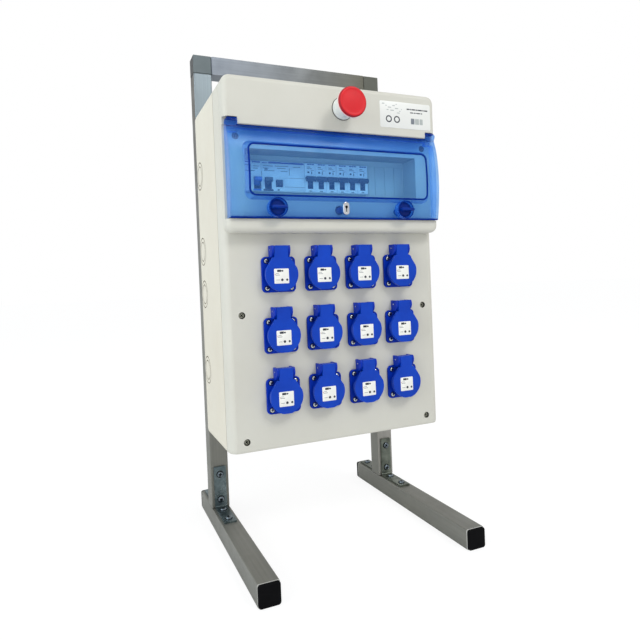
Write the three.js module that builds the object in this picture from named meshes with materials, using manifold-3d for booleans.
// Portable power distribution box: a two-part moulded enclosure on a square-tube
// floor stand, with a hinged transparent window over a row of rail devices, an
// emergency-stop button and twelve lidded panel sockets.
//
// Frame: millimetres, +Z up, the front faces -Y, +X is to the right seen from the front.
// The origin is on the floor, midway between the feet and midway along them.
// A distance "v" runs forwards (towards -Y) from the front faces of the uprights.

import * as THREE from 'three';
import { mergeVertices } from 'three/addons/utils/BufferGeometryUtils.js';
import Module from 'manifold-3d';

const wasm = await Module();
wasm.setup();

// ---------------------------------------------------------------- shared dimensions
const GAP = 0.3;              // running gap between separate pieces
const COVER_GAP = 0.4;        // gap between the rear box and the front cover
const REACH = 300;            // half width of a cutter that spans the whole box
const UPRIGHT_FRONT = 85;     // y of the uprights' front faces

// enclosure
const BOX_HALF_W = 177;
const BOX_Z0 = 163;
const BOX_Z1 = 690;
const BOX_R = 14;             // corner radius seen from the front
const BOTTOM_TRIM = 8;        // cut off the rounded block, so the bottom edges stay crisp
const BOX_D = 137;            // v of the rear box's front edge
const WALL = 3;
const PANEL_V = 157;          // face of the lower (socket) panel
const RAISED_V = 180;         // face of the raised head of the cover
const SEAT_V = 168;           // recessed face behind the window door

// Cover screws: back of each cup, face it is sunk into, and (x, z) places
const SCREW_SETS = [
  { cupV: 146, faceV: PANEL_V, places: [[-152, 178], [152, 178], [-152, 359.5], [152, 359.5]] },
  { cupV: 157, faceV: SEAT_V, places: [[-154, 612], [154, 612]] },
];

// window door
const DOOR_HALF_W = 170;
const HINGE_V = 177;
const HINGE_Z = 629;
const EAR_X0 = 156;           // inner face of a hinge ear
const EAR_R = 6;
const PIN_R = 1.9;
const LATCH_X = 103.5;
const LATCH_Z = 509.5;
const LOCK_X = 3;
const LOCK_Z = 510;

// rail and devices
const RAIL_V = 72.5;          // front plane of the rail's flanges
const RAIL_Z = 564;
const RAIL_DEPTH = 7.5;
const NOSE_V = 138;           // front plane of the devices
const NOSE_Z0 = 541.2;
const NOSE_Z1 = 586.8;
const MCB_X0 = -39.2;         // miniature breakers
const MCB_PITCH = 18.1;
const MCB_COUNT = 6;
const MCB_X1 = MCB_X0 + MCB_COUNT * MCB_PITCH;

// emergency stop
const ESTOP_X = 8.5;
const ESTOP_Z = 660;

// sockets
const SOCKET_PITCH_X = 67.2;
const SOCKET_X = [0, 1, 2, 3].map((column) => -95.1 + column * SOCKET_PITCH_X);
const SOCKET_Z = [416.5, 327.9, 239.9];
const BARREL_R = 21.2;

const FINISH = {
  tube: { color: 0x8f918b, roughness: 0.45, metalness: 0.8 },
  connector: { color: 0x83857e, roughness: 0.6, metalness: 0.3 },
  endCap: { color: 0x0c0c0d, roughness: 0.5, metalness: 0 },
  bracket: { color: 0x9aa6ad, roughness: 0.35, metalness: 0.9 },
  rearBox: { color: 0xdcd8c8, roughness: 0.5, metalness: 0 },
  cover: { color: 0xd8d7cf, roughness: 0.5, metalness: 0 },
  window: { color: 0x5b9be0, roughness: 0.12, metalness: 0, opacity: 0.5 },
  latch: { color: 0x1b3fa8, roughness: 0.3, metalness: 0 },
  lock: { color: 0xd9dbde, roughness: 0.2, metalness: 1 },
  stopBody: { color: 0xcfd2d2, roughness: 0.35, metalness: 0.5 },
  stopHead: { color: 0xd8323c, roughness: 0.4, metalness: 0 },
  rail: { color: 0xb9bcc0, roughness: 0.35, metalness: 0.9 },
  device: { color: 0xe6e9ea, roughness: 0.45, metalness: 0 },
  mainToggle: { color: 0x2a62c8, roughness: 0.45, metalness: 0 },
  residualToggle: { color: 0x23262b, roughness: 0.45, metalness: 0 },
  testButton: { color: 0x33373d, roughness: 0.45, metalness: 0 },
  breakerToggle: { color: 0x1d2126, roughness: 0.45, metalness: 0 },
  socket: { color: 0x1c3fbf, roughness: 0.35, metalness: 0 },
};

// ---------------------------------------------------------------- helpers
const SIDES = [['left', -1], ['right', 1]];

const yAt = (v) => UPRIGHT_FRONT - v;
const radians = THREE.MathUtils.degToRad;
const add = (first, ...rest) => rest.reduce((a, b) => a.add(b), first);
const cut = (first, ...rest) => rest.reduce((a, b) => a.subtract(b), first);

// ascending range between two distances from the centre, on the side given by -1 or 1
const span = (side, inner, outer) => (side < 0 ? [-outer, -inner] : [inner, outer]);

// manifold solid from a three.js geometry: welded by position, without collapsed triangles
function solid(geometry) {
  const bare = geometry.clone();
  for (const name of Object.keys(bare.attributes)) {
    if (name !== 'position') bare.deleteAttribute(name);
  }
  const welded = mergeVertices(bare, 1e-4);
  const index = welded.index.array;
  const triangles = [];
  for (let i = 0; i < index.length; i += 3) {
    const [a, b, c] = index.slice(i, i + 3);
    if (a !== b && b !== c && c !== a) triangles.push(a, b, c);
  }
  return new wasm.Manifold(new wasm.Mesh({
    numProp: 3,
    vertProperties: Float32Array.from(welded.attributes.position.array),
    triVerts: Uint32Array.from(triangles),
  }));
}

// box between two y values
function box(x0, x1, y0, y1, z0, z1) {
  const geometry = new THREE.BoxGeometry(x1 - x0, y1 - y0, z1 - z0);
  geometry.translate((x0 + x1) / 2, (y0 + y1) / 2, (z0 + z1) / 2);
  return solid(geometry);
}

// box between two forward distances
const boxV = (x0, x1, v0, v1, z0, z1) => box(x0, x1, yAt(v1), yAt(v0), z0, z1);

// cutter for everything in the enclosure below a height
const below = (z) => boxV(-REACH, REACH, -50, 300, 0, z);

// round bar along the forward axis, r0 at v0 and r1 at v1
function barV(x, z, v0, v1, r0, r1, segments) {
  const geometry = new THREE.CylinderGeometry(r0, r1, v1 - v0, segments);
  geometry.translate(x, yAt((v0 + v1) / 2), z);
  return solid(geometry);
}

// straight round bar along the forward axis
const rodV = (x, z, v0, v1, r, segments) => barV(x, z, v0, v1, r, r, segments);

// round bar along X
function rodX(x0, x1, v, z, r, segments) {
  const geometry = new THREE.CylinderGeometry(r, r, x1 - x0, segments);
  geometry.rotateZ(Math.PI / 2);
  geometry.translate((x0 + x1) / 2, yAt(v), z);
  return solid(geometry);
}

const shapeOf = (points) => new THREE.Shape(points.map(([a, b]) => new THREE.Vector2(a, b)));

// extrusion along the forward axis of an outline in (x, z), starting at vStart
function extrudeV(points, vStart, options) {
  const geometry = new THREE.ExtrudeGeometry(shapeOf(points), options);
  geometry.translate(0, 0, vStart);
  geometry.rotateX(Math.PI / 2);
  geometry.translate(0, UPRIGHT_FRONT, 0);
  return solid(geometry);
}

const prismV = (points, v0, v1) => extrudeV(points, v0, { depth: v1 - v0, bevelEnabled: false });

// prism along X from an outline in (v, z)
function prismX(points, x0, x1) {
  const options = { depth: x1 - x0, bevelEnabled: false };
  const geometry = new THREE.ExtrudeGeometry(shapeOf(points), options);
  geometry.applyMatrix4(new THREE.Matrix4().set(
    0, 0, -1, x1,
    -1, 0, 0, UPRIGHT_FRONT,
    0, 1, 0, 0,
    0, 0, 0, 1));
  return solid(geometry);
}

// rounded rectangle in (x, z)
function roundRect(x0, x1, z0, z1, r, segments) {
  const corners = [
    [x1 - r, z0 + r, -90], [x1 - r, z1 - r, 0], [x0 + r, z1 - r, 90], [x0 + r, z0 + r, 180],
  ];
  const points = [];
  for (const [x, z, start] of corners) {
    for (let i = 0; i <= segments; i++) {
      const angle = radians(start + (90 * i) / segments);
      points.push([x + r * Math.cos(angle), z + r * Math.sin(angle)]);
    }
  }
  return points;
}

// slab centred on x = 0 with a rounded front edge; bevel is [inset, depth, segments]
function slab({ halfW, z0, z1, radius, cornerSegments, vBack, vFace, bevel }) {
  const [inset, depth, bevelSegments] = bevel;
  const outline = roundRect(-halfW, halfW, z0, z1, radius, cornerSegments);
  const block = extrudeV(outline, vBack - depth, {
    depth: vFace - vBack,
    bevelEnabled: true,
    bevelSize: inset,
    bevelThickness: depth,
    bevelSegments,
    bevelOffset: -inset,
  });
  const behind = boxV(-halfW - 50, halfW + 50, vBack - 100, vBack, z0 - 50, z1 + 50);
  return block.subtract(behind);
}

const root = new THREE.Group();

function place(name, body, finish) {
  const { vertProperties, triVerts } = body.getMesh();
  const geometry = new THREE.BufferGeometry();
  geometry.setAttribute('position',
    new THREE.BufferAttribute(Float32Array.from(vertProperties), 3));
  geometry.setIndex(new THREE.BufferAttribute(Uint32Array.from(triVerts), 1));
  geometry.computeVertexNormals();
  const material = new THREE.MeshStandardMaterial({
    ...finish, transparent: finish.opacity !== undefined, flatShading: true,
  });
  const mesh = new THREE.Mesh(geometry, material);
  mesh.name = name;
  root.add(mesh);
}

// ---------------------------------------------------------------- stand
const TUBE = 30;              // square tube, outside
const TUBE_WALL = 2;
const STAND_W = 350;          // outside to outside of the uprights
const STAND_H = 790;
const FOOT_L = 360;           // overall, with the end caps
const CAP_T = 4;
const CAP_PLUG = 14;          // length of an end cap's plug
const SPIGOT = 24;            // corner connector, length inside a tube
const BRACKET_W = 20;
const BRACKET_T = 2.5;
const BRACKET_UP = 70;        // vertical leg
const BRACKET_FRONT = 68;     // horizontal leg, front brackets
const BRACKET_REAR = 58;      // horizontal leg, rear brackets

const HALF_TUBE = TUBE / 2;
const BORE = HALF_TUBE - TUBE_WALL;   // half width of the tube's inside
const PLUG = BORE - GAP;              // half width of anything pushed into a tube
const UPRIGHT_X = STAND_W / 2 - HALF_TUBE;
const UPRIGHT_Y = UPRIGHT_FRONT + HALF_TUBE;
const UPRIGHT_REAR = UPRIGHT_FRONT + TUBE;
const CROSSBAR_Z0 = STAND_H - TUBE;
const CROSSBAR_Z = STAND_H - HALF_TUBE;

function upright(x) {
  return cut(
    box(x - HALF_TUBE, x + HALF_TUBE, UPRIGHT_FRONT, UPRIGHT_REAR, TUBE + GAP, CROSSBAR_Z0 - GAP),
    box(x - BORE, x + BORE, UPRIGHT_Y - BORE, UPRIGHT_Y + BORE, 0, STAND_H));
}

// cube with one spigot down the upright and one into the crossbar
function cornerConnector(x, side) {
  const [inX0, inX1] = span(side, UPRIGHT_X - HALF_TUBE - SPIGOT, UPRIGHT_X);
  const y0 = UPRIGHT_Y - PLUG;
  const y1 = UPRIGHT_Y + PLUG;
  return add(
    box(x - HALF_TUBE, x + HALF_TUBE, UPRIGHT_FRONT, UPRIGHT_REAR, CROSSBAR_Z0, STAND_H),
    box(x - PLUG, x + PLUG, y0, y1, CROSSBAR_Z0 - SPIGOT, CROSSBAR_Z0 + 5),
    box(inX0, inX1, y0, y1, CROSSBAR_Z - PLUG, CROSSBAR_Z + PLUG));
}

function foot(x) {
  const halfL = FOOT_L / 2 - CAP_T - GAP;
  return cut(
    box(x - HALF_TUBE, x + HALF_TUBE, -halfL, halfL, 0, TUBE),
    box(x - BORE, x + BORE, -FOOT_L, FOOT_L, TUBE_WALL, TUBE - TUBE_WALL));
}

// rounded plate with a plug inside the tube; end is -1 at the front, 1 at the rear
function endCap(x, end) {
  const outer = FOOT_L / 2;
  const inner = outer - CAP_T;
  const [y0, y1] = span(end, inner, outer);
  const [plugY0, plugY1] = span(end, inner - CAP_PLUG, (inner + outer) / 2);
  const outline = roundRect(x - HALF_TUBE, x + HALF_TUBE, 0, TUBE, 3, 2);
  return add(
    prismV(outline, UPRIGHT_FRONT - y1, UPRIGHT_FRONT - y0),
    box(x - PLUG, x + PLUG, plugY0, plugY1, HALF_TUBE - PLUG, HALF_TUBE + PLUG));
}

// angle bracket against the upright at y, running towards the given end
function angleBracket(x, y, end, length) {
  const x0 = x - BRACKET_W / 2;
  const x1 = x + BRACKET_W / 2;
  const z0 = TUBE + GAP;
  const range = (size) => (end < 0 ? [y - size, y] : [y, y + size]);
  return add(
    box(x0, x1, ...range(BRACKET_T), z0, z0 + BRACKET_UP),
    box(x0, x1, ...range(length), z0, z0 + BRACKET_T));
}

function topCrossbar() {
  const halfL = STAND_W / 2 - TUBE - GAP;
  return cut(
    box(-halfL, halfL, UPRIGHT_FRONT, UPRIGHT_REAR, CROSSBAR_Z0, STAND_H),
    box(-STAND_W / 2, STAND_W / 2, UPRIGHT_Y - BORE, UPRIGHT_Y + BORE,
      CROSSBAR_Z - BORE, CROSSBAR_Z + BORE));
}

for (const [name, side] of SIDES) {
  const x = side * UPRIGHT_X;
  place(`upright_${name}`, upright(x), FINISH.tube);
  place(`corner_connector_${name}`, cornerConnector(x, side), FINISH.connector);
  place(`foot_${name}`, foot(x), FINISH.tube);
  place(`end_cap_${name}_front`, endCap(x, -1), FINISH.endCap);
  place(`end_cap_${name}_rear`, endCap(x, 1), FINISH.endCap);
  place(`angle_bracket_${name}_front`,
    angleBracket(x, UPRIGHT_FRONT - GAP, -1, BRACKET_FRONT), FINISH.bracket);
  place(`angle_bracket_${name}_rear`,
    angleBracket(x, UPRIGHT_REAR + GAP, 1, BRACKET_REAR), FINISH.bracket);
}
place('top_crossbar', topCrossbar(), FINISH.tube);

// ---------------------------------------------------------------- rear box
const KNOCKOUT_R = 21;
const KNOCKOUT_DEPTH = 0.8;
const KNOCKOUT_V = 24;
const KNOCKOUT_Z = [582, 460, 391, 268];
const RAIL_POST_X = 120;
const RAIL_POST_R = 7;
const SCREW_POST_R = 6;

function rearShell() {
  const frontRounded = slab({
    halfW: BOX_HALF_W, z0: BOX_Z0 - BOTTOM_TRIM, z1: BOX_Z1, radius: BOX_R, cornerSegments: 4,
    vBack: 0, vFace: BOX_D, bevel: [4, 4, 2],
  }).subtract(below(BOX_Z0));
  // a slab is rounded at its front, so it is mirrored to round the back instead
  const outer = frontRounded.mirror([0, 1, 0]).translate([0, yAt(GAP) + yAt(BOX_D), 0]);
  const outline = roundRect(-BOX_HALF_W + WALL, BOX_HALF_W - WALL,
    BOX_Z0 - BOTTOM_TRIM + WALL, BOX_Z1 - WALL, BOX_R - WALL, 4);
  const inner = prismV(outline, GAP + WALL, BOX_D + 20).subtract(below(BOX_Z0 + WALL));
  return cut(outer, inner, boxV(-REACH, REACH, BOX_D, BOX_D + 60, 0, 900));
}

function rearBox() {
  let rear = rearShell();
  // posts that carry the rail and the cover screws
  const postBack = GAP + 1;
  const railBack = RAIL_V - RAIL_DEPTH;
  for (const x of [-RAIL_POST_X, RAIL_POST_X]) {
    rear = rear.add(rodV(x, RAIL_Z, postBack, railBack - GAP, RAIL_POST_R, 10));
  }
  for (const { cupV, places } of SCREW_SETS) {
    for (const [x, z] of places) {
      rear = rear.add(rodV(x, z, postBack, cupV - COVER_GAP, SCREW_POST_R, 10));
    }
  }
  // knockouts: thinned discs in both side walls
  for (const z of KNOCKOUT_Z) {
    for (const side of [-1, 1]) {
      const [x0, x1] = span(side, BOX_HALF_W - KNOCKOUT_DEPTH, BOX_HALF_W + 5);
      rear = rear.subtract(rodX(x0, x1, KNOCKOUT_V, z, KNOCKOUT_R, 18));
    }
  }
  return rear;
}

place('rear_box', rearBox(), FINISH.rearBox);

// ---------------------------------------------------------------- front cover
const COVER_V0 = BOX_D + COVER_GAP;   // back edge of the cover
const RAISED_HALF_W = 173;
const RAISED_Z0 = 476;
const RAISED_Z1 = 695;        // the head stands a little proud of the rear half
const SEAT_Z0 = 495;
const SEAT_Z1 = 625.8;
const HINGE_BLOCK_X0 = 147;
const HINGE_BLOCK_Z1 = 639.5;
const CUP_R = 7;
const CUP_BORE_R = 4.2;
const TRAY = { x0: -141.5, x1: 140.5, z0: 531, z1: 596, back: 128 };
const BLANK_X = [86.9, 104.8, 122.7];   // grooves between the break-out blanks

// outer skin of the cover and the hollow shell made from it
function coverShell() {
  // the head's top climbs to its full height behind the panel plane
  const aboveClimb = (drop) => prismX([
    [COVER_V0 - 20, 800], [COVER_V0 - 20, BOX_Z1 - 2 - drop], [149, BOX_Z1 - 2 - drop],
    [156, RAISED_Z1 + 0.5 - drop], [156, 800],
  ], -REACH, REACH);
  const lowBlock = slab({
    halfW: BOX_HALF_W, z0: BOX_Z0 - BOTTOM_TRIM, z1: BOX_Z1, radius: BOX_R, cornerSegments: 4,
    vBack: COVER_V0, vFace: PANEL_V, bevel: [11.5, 17, 4],
  }).subtract(below(BOX_Z0));
  const head = slab({
    halfW: RAISED_HALF_W, z0: RAISED_Z0, z1: RAISED_Z1, radius: 12, cornerSegments: 4,
    vBack: COVER_V0, vFace: RAISED_V, bevel: [8, 8, 3],
  }).subtract(aboveClimb(0));
  const lowHollow = slab({
    halfW: BOX_HALF_W - WALL, z0: BOX_Z0 - BOTTOM_TRIM + WALL, z1: BOX_Z1 - WALL,
    radius: BOX_R - WALL, cornerSegments: 3,
    vBack: COVER_V0 - 5, vFace: PANEL_V - WALL, bevel: [10, 14, 3],
  }).subtract(below(BOX_Z0 + WALL));
  const headHollow = slab({
    halfW: RAISED_HALF_W - WALL, z0: RAISED_Z0 + WALL, z1: RAISED_Z1 - WALL,
    radius: 9, cornerSegments: 3,
    vBack: COVER_V0 - 5, vFace: RAISED_V - WALL, bevel: [7, 7, 2],
  }).subtract(aboveClimb(WALL));
  const outer = lowBlock.add(head);
  return { outer, shell: cut(outer, lowHollow, headHollow) };
}

// seat for the window door, with its shelves and hinge blocks
function addDoorSeat(shell, outer) {
  const w = RAISED_HALF_W;
  const back = SEAT_V - WALL;
  const front = RAISED_V - 1;
  const seat = add(
    boxV(-w, w, back, SEAT_V, SEAT_Z0 - WALL, SEAT_Z1 + WALL),
    boxV(-w, w, back, front, SEAT_Z0 - WALL, SEAT_Z0),
    boxV(-w, w, back, front, SEAT_Z1, SEAT_Z1 + WALL),
    boxV(-w, -HINGE_BLOCK_X0, back, front, SEAT_Z1, HINGE_BLOCK_Z1),
    boxV(HINGE_BLOCK_X0, w, back, front, SEAT_Z1, HINGE_BLOCK_Z1));
  const opening = prismX([
    [SEAT_V, SEAT_Z0], [RAISED_V + 5, SEAT_Z0], [RAISED_V + 5, SEAT_Z1 + 6.2],
    [RAISED_V - 1.2, SEAT_Z1], [SEAT_V, SEAT_Z1],
  ], -w - 5, w + 5);
  return shell.add(seat.intersect(outer)).subtract(opening);
}

// room for the door's hinge ears and pins
function cutHinges(cover) {
  for (const side of [-1, 1]) {
    const [x0, x1] = span(side, EAR_X0 - 0.4, 190);
    const [pinX0, pinX1] = span(side, 150.5, EAR_X0);
    cover = cut(cover,
      boxV(x0, x1, HINGE_V - EAR_R - 0.5, RAISED_V + 8, SEAT_Z1 - 1, HINGE_Z + EAR_R + 0.6),
      rodX(pinX0, pinX1, HINGE_V, HINGE_Z, PIN_R + 0.2, 12));
  }
  return cover;
}

// tray around the rail devices
function addTray(cover) {
  const { x0, x1, z0, z1, back } = TRAY;
  const floor = back + WALL;
  return cut(
    cover.add(boxV(x0 - WALL, x1 + WALL, back, SEAT_V - 1, z0 - WALL, z1 + WALL)),
    boxV(x0, x1, floor, SEAT_V + 2, z0, z1),
    // window for the device noses
    boxV(x0, MCB_X1 + 0.2, back - 5, floor + 2, NOSE_Z0 - 0.6, NOSE_Z1 + 0.6),
    ...BLANK_X.map((x) => boxV(x - 0.4, x + 0.4, floor - 0.8, floor + 2, NOSE_Z0, NOSE_Z1)));
}

// recessed screw cups
function addScrewCups(cover) {
  for (const { cupV, faceV, places } of SCREW_SETS) {
    for (const [x, z] of places) {
      cover = cover.add(rodV(x, z, cupV, faceV - 1, CUP_R, 14));
      cover = cover.subtract(rodV(x, z, cupV + WALL, faceV + 5, CUP_BORE_R, 14));
    }
  }
  return cover;
}

// openings for the sockets, the emergency stop, the latches and the lock
function cutOpenings(cover) {
  const back = COVER_V0 - 2;
  for (const x of SOCKET_X) {
    for (const z of SOCKET_Z) {
      cover = cover.subtract(rodV(x, z, back, PANEL_V + 5, BARREL_R + 0.5, 20));
    }
  }
  const seatHole = (x, z, r) => rodV(x, z, SEAT_V - 8, SEAT_V + 5, r, 14);
  return cut(cover,
    rodV(ESTOP_X, ESTOP_Z, back, RAISED_V + 5, 11.3, 20),
    seatHole(-LATCH_X, LATCH_Z, 6.2),
    seatHole(LATCH_X, LATCH_Z, 6.2),
    seatHole(LOCK_X, LOCK_Z, 7.2));
}

function frontCover() {
  const { outer, shell } = coverShell();
  const seated = cutHinges(addDoorSeat(shell, outer));
  return cutOpenings(addScrewCups(addTray(seated)));
}

place('front_cover', frontCover(), FINISH.cover);

// ---------------------------------------------------------------- window door
const DOOR_Z0 = 495.8;
const DOOR_Z1 = 625;
const DOOR_T = 2.8;
const DOOR_BACK = SEAT_V + 1;
// raised bubble: half width, height range, rise above the door's curve
// and v of the block it is trimmed from
const BUBBLE = { halfW: 149, z0: 521.5, z1: 599.5, rise: 6.5, blockV: 203 };
// front face of the door seen from the side, bottom to top: [v, z]
const DOOR_CURVE = [
  [184, DOOR_Z0], [186.8, 512], [188.8, 530], [190, 549],
  [190, 568], [188.4, 587], [185.2, 606], [179.5, 624],
];
const doorCurve = (offset) => DOOR_CURVE.map(([v, z]) => [v + offset, z]);

function bubble() {
  const { halfW, z0, z1, rise, blockV } = BUBBLE;
  const under = (offset, back) => prismX(
    [...doorCurve(offset), [back, DOOR_Z1], [back, DOOR_Z0]], -DOOR_HALF_W, DOOR_HALF_W);
  const outer = slab({
    halfW, z0, z1, radius: 12, cornerSegments: 4,
    vBack: DOOR_BACK, vFace: blockV, bevel: [7, 9, 3],
  }).intersect(under(rise, DOOR_BACK));
  const hollow = slab({
    halfW: halfW - DOOR_T, z0: z0 + DOOR_T, z1: z1 - DOOR_T, radius: 9.5, cornerSegments: 3,
    vBack: DOOR_BACK - 5, vFace: blockV - DOOR_T, bevel: [7, 9, 2],
  }).intersect(under(rise - DOOR_T, DOOR_BACK - 6));
  return { outer, hollow };
}

function doorHollow() {
  const lining = doorCurve(-DOOR_T);
  lining[0][1] += DOOR_T;
  lining.at(-1)[1] = DOOR_Z1 - DOOR_T;
  const back = DOOR_BACK - 5;
  return prismX([[back, DOOR_Z0 + DOOR_T], ...lining, [back, DOOR_Z1 - DOOR_T]],
    -DOOR_HALF_W + DOOR_T, DOOR_HALF_W - DOOR_T);
}

// hinge ear with its pin
function hingeEar(side) {
  const [x0, x1] = span(side, EAR_X0, DOOR_HALF_W);
  const [pinX0, pinX1] = span(side, 151, 160);
  return [
    rodX(x0, x1, HINGE_V, HINGE_Z, EAR_R, 18),
    boxV(x0, x1, HINGE_V - EAR_R, 180.5, 615, HINGE_Z),
    rodX(pinX0, pinX1, HINGE_V, HINGE_Z, PIN_R, 12),
  ];
}

function windowDoor() {
  const topV = DOOR_CURVE.at(-1)[0] - 1.3;
  const block = prismX(
    [[DOOR_BACK, DOOR_Z0], ...DOOR_CURVE, [topV, DOOR_Z1], [DOOR_BACK, DOOR_Z1]],
    -DOOR_HALF_W, DOOR_HALF_W);
  const { outer, hollow } = bubble();
  const shell = cut(block.add(outer), doorHollow(), hollow);
  const hole = (x, z, r) => rodV(x, z, 170, 200, r, 14);
  return cut(add(shell, ...hingeEar(-1), ...hingeEar(1)),
    hole(-LATCH_X, LATCH_Z, 4.4),
    hole(LATCH_X, LATCH_Z, 4.4),
    hole(LOCK_X, LOCK_Z, 5.2));
}

// quarter-turn latch: round knob, finger bar, shaft
function latch(x) {
  return add(
    barV(x, LATCH_Z, 188.2, 191.5, 12, 11.4, 22),
    prismV(roundRect(x - 11, x + 11, LATCH_Z - 2.4, LATCH_Z + 2.4, 1.6, 2), 191, 198.5),
    rodV(x, LATCH_Z, 160, 189, 4, 12));
}

// key lock: round barrel with an oblong turning head and a key slot
function doorLock() {
  const head = roundRect(LOCK_X - 5, LOCK_X + 5, LOCK_Z - 9.5, LOCK_Z + 9.5, 4.8, 4);
  return cut(
    add(rodV(LOCK_X, LOCK_Z, 161, 189, 4.8, 14), prismV(head, 188.6, 193)),
    boxV(LOCK_X - 0.8, LOCK_X + 0.8, 186, 195, LOCK_Z - 4, LOCK_Z + 4));
}

place('window_door', windowDoor(), FINISH.window);
for (const [name, side] of SIDES) place(`latch_${name}`, latch(side * LATCH_X), FINISH.latch);
place('door_lock', doorLock(), FINISH.lock);

// ---------------------------------------------------------------- emergency stop
const STOP_HEAD_R = 22;
const STOP_HEAD_V = 163;      // rear end of the head's stem
const STOP_COLLAR_R = 16;
const STOP_COLLAR_V = 205.8;  // front of the collar, just behind the mushroom head
// stem and mushroom head: [radius, distance forwards from the stem's rear end]
const STOP_HEAD_PROFILE = [
  [0, 0], [7.2, 0], [7.2, 48.2], [15.9, 48.2], [16.4, 47.3],
  [STOP_HEAD_R - 1.6, 47.4], [STOP_HEAD_R - 0.5, 48.4], [STOP_HEAD_R, 49.8],
  [STOP_HEAD_R, 51.3], [STOP_HEAD_R - 0.4, 52.6], [STOP_HEAD_R - 1.4, 53.5],
  [STOP_HEAD_R - 3.5, 54], [STOP_HEAD_R - 10, 54.2], [0, 54.3],
];

// collar on the cover, barrel through it and a block behind, bored for the stem
function stopBody() {
  const x = ESTOP_X;
  const z = ESTOP_Z;
  return cut(
    add(
      barV(x, z, RAISED_V + GAP, STOP_COLLAR_V, STOP_COLLAR_R, STOP_COLLAR_R - 1.2, 24),
      rodV(x, z, 150, RAISED_V + 5, 11, 20),
      boxV(x - 15, x + 15, 118, 165, z - 20, z + 20)),
    rodV(x, z, 158, STOP_COLLAR_V + 5, 7.6, 16));
}

function stopHead() {
  const points = STOP_HEAD_PROFILE.map(([r, h]) => new THREE.Vector2(r, h));
  const geometry = new THREE.LatheGeometry(points, 28);
  // the lathe axis is +Y: turn it to point forwards
  geometry.rotateX(Math.PI);
  geometry.translate(ESTOP_X, yAt(STOP_HEAD_V), ESTOP_Z);
  return solid(geometry);
}

place('emergency_stop_body', stopBody(), FINISH.stopBody);
place('emergency_stop_head', stopHead(), FINISH.stopHead);

// ---------------------------------------------------------------- rail and devices
const RAIL_Z0 = RAIL_Z - 17.5;
const RAIL_Z1 = RAIL_Z + 17.5;
const RAIL_T = 1;
const RAIL_LIP = 4;
const DEVICE_Z0 = 521.5;
const DEVICE_Z1 = 606.5;
const SHOULDER_V = 116;
const CLAW_GAP = 0.4;         // between the rail's flanges and the claws
const MAIN_X = [-141.2, -108.8];
const RCD_X = [-108.5, -39.5];   // residual current device
const MCB_W = 17.8;
const TOGGLE_V = 130;         // pivot of every toggle
const TOGGLE_Z = 556;
const WIDE_TOGGLE = 10;       // width of the main and residual current toggles
const MAIN_TOGGLE_X = -115;
const RCD_TOGGLE_X = -98.3;
const MCB_TOGGLE = 8;
const TEST = { x0: -86, x1: -75.8, z0: 548.6, z1: 558.8, clearance: 0.4 };

function dinRail() {
  const front = RAIL_V;
  const back = RAIL_V - RAIL_DEPTH;
  const lipIn = RAIL_LIP + RAIL_T;
  return prismX([
    [front, RAIL_Z0], [front, RAIL_Z0 + lipIn],
    [back + RAIL_T, RAIL_Z0 + lipIn], [back + RAIL_T, RAIL_Z1 - lipIn],
    [front, RAIL_Z1 - lipIn], [front, RAIL_Z1],
    [front - RAIL_T, RAIL_Z1], [front - RAIL_T, RAIL_Z1 - RAIL_LIP],
    [back, RAIL_Z1 - RAIL_LIP], [back, RAIL_Z0 + RAIL_LIP],
    [front - RAIL_T, RAIL_Z0 + RAIL_LIP], [front - RAIL_T, RAIL_Z0],
  ], -148, 148);
}

// side outline of every device, with the two claws over the rail's flanges: [v, z]
const CLAW_V = RAIL_V - 3;
const BODY_V = RAIL_V + CLAW_GAP;
const DEVICE_OUTLINE = [
  [BODY_V, RAIL_Z0 - CLAW_GAP], [CLAW_V, RAIL_Z0 - CLAW_GAP],
  [CLAW_V, DEVICE_Z0 + 4], [BODY_V, DEVICE_Z0],
  [SHOULDER_V - 18, DEVICE_Z0], [SHOULDER_V - 12, DEVICE_Z0 + 6],
  [SHOULDER_V, DEVICE_Z0 + 6], [SHOULDER_V, NOSE_Z0],
  [NOSE_V, NOSE_Z0], [NOSE_V, NOSE_Z1],
  [SHOULDER_V, NOSE_Z1], [SHOULDER_V, DEVICE_Z1 - 6],
  [SHOULDER_V - 12, DEVICE_Z1 - 6], [SHOULDER_V - 18, DEVICE_Z1],
  [BODY_V, DEVICE_Z1], [CLAW_V, DEVICE_Z1 - 4],
  [CLAW_V, RAIL_Z1 + CLAW_GAP], [BODY_V, RAIL_Z1 + CLAW_GAP],
];

// device body between x0 and x1, slotted for its toggle
function device(x0, x1, toggleX, toggleW) {
  const half = toggleW / 2 + 0.4;
  return cut(prismX(DEVICE_OUTLINE, x0, x1),
    boxV(toggleX - half, toggleX + half, 122.5, NOSE_V + 3, 547, 566.5));
}

// hub in the device's slot, with a lever pointing forwards and leaning up by some degrees
function toggle(x, width, gripWidth, lean) {
  const cos = Math.cos(radians(lean));
  const sin = Math.sin(radians(lean));
  const lever = (points, w) => prismX(points.map(([along, across]) => [
    TOGGLE_V + along * cos - across * sin,
    TOGGLE_Z + along * sin + across * cos,
  ]), x - w / 2, x + w / 2);
  return add(
    rodX(x - width / 2, x + width / 2, TOGGLE_V, TOGGLE_Z, 5.6, 14),
    lever([[0, -2.6], [12, -2.2], [12, 2.2], [0, 2.6]], width),
    lever([[11.2, -2.6], [16, -1.9], [16, 1.9], [11.2, 2.9]], gripWidth));
}

const wideToggle = (x) => toggle(x, WIDE_TOGGLE, WIDE_TOGGLE, 10);

function residualDevice() {
  const { x0, x1, z0, z1, clearance: c } = TEST;
  return device(...RCD_X, RCD_TOGGLE_X, WIDE_TOGGLE)
    .subtract(boxV(x0 - c, x1 + c, 130, NOSE_V + 3, z0 - c, z1 + c));
}

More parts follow.
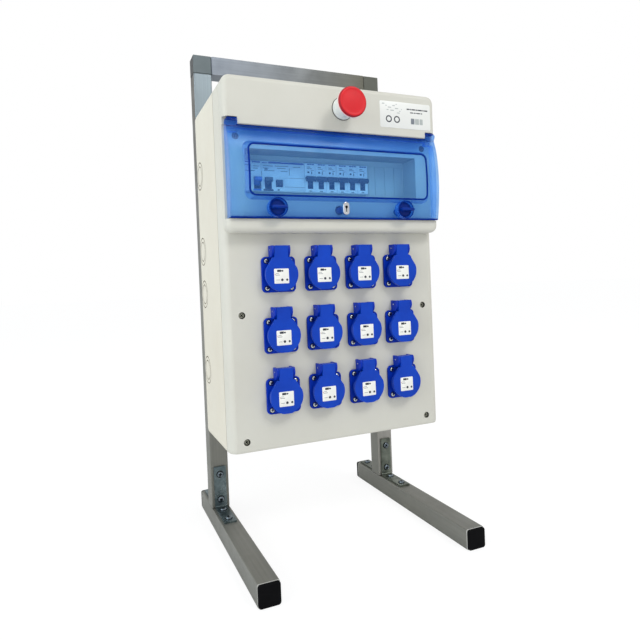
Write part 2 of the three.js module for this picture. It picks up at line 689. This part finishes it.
const testButton = () => boxV(TEST.x0, TEST.x1, 132.2, NOSE_V + 1.8, TEST.z0, TEST.z1);

// breakers linked by one comb busbar across their lower terminals
function breakerBank(starts) {
  return add(
    ...starts.map((x) => device(x, x + MCB_W, x + MCB_W / 2, MCB_TOGGLE)),
    boxV(MCB_X0 + 3, MCB_X1 - 3, 86, 90, DEVICE_Z0 - 5, DEVICE_Z0 + 3));
}

place('din_rail', dinRail(), FINISH.rail);
place('main_switch', device(...MAIN_X, MAIN_TOGGLE_X, WIDE_TOGGLE), FINISH.device);
place('main_switch_toggle', wideToggle(MAIN_TOGGLE_X), FINISH.mainToggle);
place('residual_current_device', residualDevice(), FINISH.device);
place('residual_current_toggle', wideToggle(RCD_TOGGLE_X), FINISH.residualToggle);
place('test_button', testButton(), FINISH.testButton);
const mcbStarts = Array.from({ length: MCB_COUNT }, (_, i) => MCB_X0 + i * MCB_PITCH);
mcbStarts.forEach((x, i) => {
  const lever = toggle(x + MCB_W / 2, MCB_TOGGLE, 15, 28);
  place(`breaker_toggle_${i + 1}`, lever, FINISH.breakerToggle);
});
place('breaker_bank', breakerBank(mcbStarts), FINISH.device);

// ---------------------------------------------------------------- sockets
const FLANGE_HALF = 26;
const FLANGE_T = 3.5;
const WELL_R = 19.3;
const COLLAR_R = 22;
const COLLAR_V = PANEL_V + 13;       // front of the collar
const LID_R = 24.8;
const LID_V0 = PANEL_V + 13.4;
const LID_V1 = PANEL_V + 18.2;
const LID_AXIS_V = PANEL_V + 8;
const LID_AXIS_Z = 35.5;      // hinge axis above the socket's centre
const LUG_TOP_Z = 41.5;
const LUG_ARC_R = 10.1;
const KNUCKLE_HALF_W = 10.2;
// right edge of the lid above its round rim, bottom to top: [x, z]
const LID_EDGE = [
  [LID_R, 0], [23.3, 8.2], [13.2, 24.2], [KNUCKLE_HALF_W, 24.2], [KNUCKLE_HALF_W, 41],
];

// flange, barrel behind the panel, collar and hinge lugs, centred on x = 0, z = 0
function socketBase() {
  const back = PANEL_V + GAP;
  // the lug's outline follows an arc about the hinge axis, so the lid clears it
  const arc = [];
  for (let degrees = -48; degrees <= 36; degrees += 12) {
    const angle = radians(degrees);
    arc.push([LID_AXIS_V + LUG_ARC_R * Math.cos(angle), LID_AXIS_Z + LUG_ARC_R * Math.sin(angle)]);
  }
  const lugOutline = [
    [back, 24.6], [PANEL_V + 12.4, 24.6], ...arc, [PANEL_V + 15.6, LUG_TOP_Z], [back, LUG_TOP_Z],
  ];
  const flange = roundRect(-FLANGE_HALF, FLANGE_HALF, -FLANGE_HALF, FLANGE_HALF, 6, 3);
  const base = add(
    prismV(flange, back, PANEL_V + FLANGE_T),
    rodV(0, 0, PANEL_V - 30, PANEL_V + 1, BARREL_R, 20),
    barV(0, 0, PANEL_V + 1, COLLAR_V, COLLAR_R + 0.8, COLLAR_R, 20),
    ...[-1, 1].map((side) => prismX(lugOutline, ...span(side, 10.6, 14))),
    boxV(-14, 14, back, PANEL_V + 1.4, 24, 39.5));
  return base.subtract(rodV(0, 0, PANEL_V - 5, COLLAR_V + 5, WELL_R, 20));
}

// disc with a short skirt, tapering up to the hinge knuckle, centred on x = 0, z = 0
function socketLid() {
  const rim = [];
  for (let degrees = 199; degrees <= 341; degrees += 142 / 8) {
    const angle = radians(degrees);
    rim.push([LID_R * Math.cos(angle), Math.max(LID_R * Math.sin(angle), -24.2)]);
  }
  const closed = (edge) => [...rim, ...edge, ...edge.map(([x, z]) => [-x, z]).reverse()];
  const skirt = cut(
    prismV(closed(LID_EDGE.slice(0, 2)), PANEL_V + 8.4, LID_V0 + 1),
    rodV(0, 0, PANEL_V, LID_V0, COLLAR_R + 1.3, 20));
  return add(
    prismV(closed(LID_EDGE), LID_V0, LID_V1),
    skirt,
    rodX(-KNUCKLE_HALF_W, KNUCKLE_HALF_W, LID_AXIS_V, LID_AXIS_Z, 5, 12),
    boxV(-KNUCKLE_HALF_W, KNUCKLE_HALF_W, LID_AXIS_V, LID_V0 + 1,
      LID_AXIS_Z - 4.2, LID_AXIS_Z + 4.2));
}

const base = socketBase();
const lid = socketLid();
SOCKET_Z.forEach((z, row) => SOCKET_X.forEach((x, column) => {
  const tag = `r${row + 1}c${column + 1}`;
  place(`socket_base_${tag}`, base.translate([x, 0, z]), FINISH.socket);
  place(`socket_lid_${tag}`, lid.translate([x, 0, z]), FINISH.socket);
}));

export default root;
